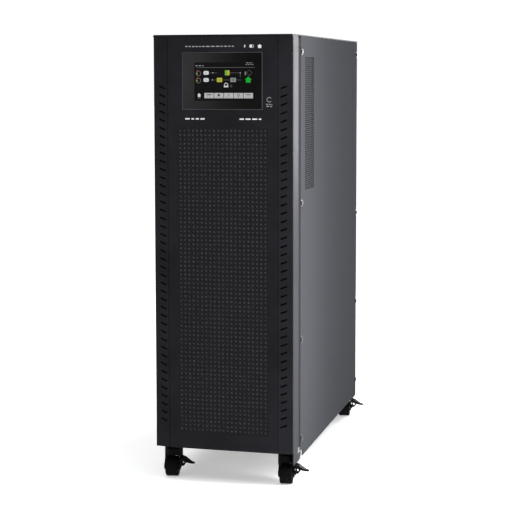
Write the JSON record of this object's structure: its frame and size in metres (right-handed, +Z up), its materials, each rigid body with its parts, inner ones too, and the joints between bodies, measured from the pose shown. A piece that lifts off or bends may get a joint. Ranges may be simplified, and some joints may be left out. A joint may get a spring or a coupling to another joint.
{
  "type": "uninterruptible power supply",
  "caption": "Tall floor-standing power supply cabinet with a perforated front, slotted edge strips, a display, side vents, rear fans and braked swivel casters.",
  "frame": {"origin": "on the floor, under the middle of the bounding box", "axes": "+Z up, -Y out of the front with the display, +X to the right of a viewer facing the front"},
  "size_m": [0.2966, 0.618, 0.79],
  "materials": {
    "bezel_plastic": "satin moulded black",
    "grille_steel": "fine black powder coat",
    "filter_foam": "open foam",
    "screen_foam": "dark open foam",
    "display_glass": "polished black window",
    "display_module": "matt",
    "corner_trim": "satin grey",
    "side_paint": "fine textured grey powder coat",
    "top_paint": "fine textured dark powder coat",
    "rear_paint": "fine textured grey powder coat",
    "zinc_steel": "zinc plated",
    "screw_steel": "bright nickel plate",
    "stem_steel": "black oxide",
    "battery_case": "moulded",
    "circuit_board": "solder mask",
    "heatsink_aluminium": "extruded",
    "capacitor_sleeve": "shrink sleeve",
    "enamel_winding": "enamelled copper",
    "fan_plastic": "moulded black",
    "guard_wire": "bright plated wire",
    "breaker_plastic": "moulded grey",
    "toggle_plastic": "polished black",
    "terminal_plastic": "moulded",
    "gland_nylon": "nylon",
    "earth_brass": "bright",
    "caster_plastic": "moulded black",
    "tread_rubber": "matt"
  },
  "bodies": {
    "case": {"front_bezel": "bezel_plastic", "perforated_grille": "grille_steel", "dust_filter": "filter_foam", "dust_screens": "screen_foam", "display_glass": "display_glass", "lcd_module": "display_module", "trim_front_left": "corner_trim", "trim_front_right": "corner_trim", "trim_rear_left": "side_paint", "trim_rear_right": "side_paint", "side_panel_left": "side_paint", "side_panel_right": "side_paint", "top_cover": "top_paint", "rear_panel": "rear_paint", "fan_panel": "rear_paint", "interface_panel": "rear_paint", "base_pan": "top_paint", "mid_shelf": "zinc_steel", "front_posts": "zinc_steel", "rear_posts": "zinc_steel", "panel_screws": "screw_steel", "caster_nuts": "zinc_steel", "battery_trays": "zinc_steel", "batteries": "battery_case", "power_board": "circuit_board", "heatsinks": "heatsink_aluminium", "bus_capacitors": "capacitor_sleeve", "inductors": "enamel_winding", "control_board": "circuit_board", "fan_frames": "fan_plastic", "fan_guards": "guard_wire", "breakers": "breaker_plastic", "terminal_block": "terminal_plastic", "terminal_cover": "rear_paint", "cable_glands": "gland_nylon", "ports": "breaker_plastic", "slot_cover": "rear_paint", "earth_stud": "earth_brass", "caster_stems": "stem_steel"},
    "fork_fl": {"caster_fork_fl": "caster_plastic", "caster_axle_fl": "zinc_steel"},
    "wheel_fl": {"caster_wheel_fl": "tread_rubber"},
    "brake_fl": {"caster_brake_fl": "caster_plastic"},
    "fork_fr": {"caster_fork_fr": "caster_plastic", "caster_axle_fr": "zinc_steel"},
    "wheel_fr": {"caster_wheel_fr": "tread_rubber"},
    "brake_fr": {"caster_brake_fr": "caster_plastic"},
    "fork_rl": {"caster_fork_rl": "caster_plastic", "caster_axle_rl": "zinc_steel"},
    "wheel_rl": {"caster_wheel_rl": "tread_rubber"},
    "brake_rl": {"caster_brake_rl": "caster_plastic"},
    "fork_rr": {"caster_fork_rr": "caster_plastic", "caster_axle_rr": "zinc_steel"},
    "wheel_rr": {"caster_wheel_rr": "tread_rubber"},
    "brake_rr": {"caster_brake_rr": "caster_plastic"},
    "rotor_lower": {"fan_rotor_lower": "fan_plastic"},
    "rotor_upper": {"fan_rotor_upper": "fan_plastic"},
    "toggle_input": {"breaker_toggle_input": "toggle_plastic"},
    "toggle_bypass": {"breaker_toggle_bypass": "toggle_plastic"}
  },
  "joints": [
    {"name": "swivel_fl", "type": "hinge", "parent": "case", "child": "fork_fl", "pos_m": [-0.1055, -0.265, 0.048], "axis": [0, 0, 1], "continuous": true},
    {"name": "roll_fl", "type": "hinge", "parent": "fork_fl", "child": "wheel_fl", "pos_m": [-0.10355, -0.27886, 0.018], "axis": [0.9903, 0.1392, 0], "continuous": true},
    {"name": "brake_fl", "type": "hinge", "parent": "fork_fl", "child": "brake_fl", "pos_m": [-0.08495, -0.27827, 0.033], "axis": [-0.1392, 0.9903, 0], "range_deg": [0, 9]},
    {"name": "swivel_fr", "type": "hinge", "parent": "case", "child": "fork_fr", "pos_m": [0.1055, -0.265, 0.048], "axis": [0, 0, 1], "continuous": true},
    {"name": "roll_fr", "type": "hinge", "parent": "fork_fr", "child": "wheel_fr", "pos_m": [0.10745, -0.27886, 0.018], "axis": [0.9903, 0.1392, 0], "continuous": true},
    {"name": "brake_fr", "type": "hinge", "parent": "fork_fr", "child": "brake_fr", "pos_m": [0.12605, -0.27827, 0.033], "axis": [-0.1392, 0.9903, 0], "range_deg": [0, 9]},
    {"name": "swivel_rl", "type": "hinge", "parent": "case", "child": "fork_rl", "pos_m": [-0.1055, 0.267, 0.048], "axis": [0, 0, 1], "continuous": true},
    {"name": "roll_rl", "type": "hinge", "parent": "fork_rl", "child": "wheel_rl", "pos_m": [-0.10745, 0.28086, 0.018], "axis": [-0.9903, -0.1392, 0], "continuous": true},
    {"name": "brake_rl", "type": "hinge", "parent": "fork_rl", "child": "brake_rl", "pos_m": [-0.12605, 0.28027, 0.033], "axis": [0.1392, -0.9903, 0], "range_deg": [0, 9]},
    {"name": "swivel_rr", "type": "hinge", "parent": "case", "child": "fork_rr", "pos_m": [0.1055, 0.267, 0.048], "axis": [0, 0, 1], "continuous": true},
    {"name": "roll_rr", "type": "hinge", "parent": "fork_rr", "child": "wheel_rr", "pos_m": [0.10745, 0.25314, 0.018], "axis": [0.9903, 0.1392, 0], "continuous": true},
    {"name": "brake_rr", "type": "hinge", "parent": "fork_rr", "child": "brake_rr", "pos_m": [0.12605, 0.25373, 0.033], "axis": [-0.1392, 0.9903, 0], "range_deg": [0, 9]},
    {"name": "fan_spin_lower", "type": "hinge", "parent": "case", "child": "rotor_lower", "pos_m": [-0.044, 0.2676, 0.585], "axis": [0, 1, 0], "continuous": true},
    {"name": "fan_spin_upper", "type": "hinge", "parent": "case", "child": "rotor_upper", "pos_m": [-0.044, 0.2676, 0.715], "axis": [0, 1, 0], "continuous": true},
    {"name": "toggle_input", "type": "hinge", "parent": "case", "child": "toggle_input", "pos_m": [-0.07, 0.2905, 0.462], "axis": [1, 0, 0], "range_deg": [-50, 0]},
    {"name": "toggle_bypass", "type": "hinge", "parent": "case", "child": "toggle_bypass", "pos_m": [-0.022, 0.2905, 0.462], "axis": [1, 0, 0], "range_deg": [-50, 0]}
  ]
}
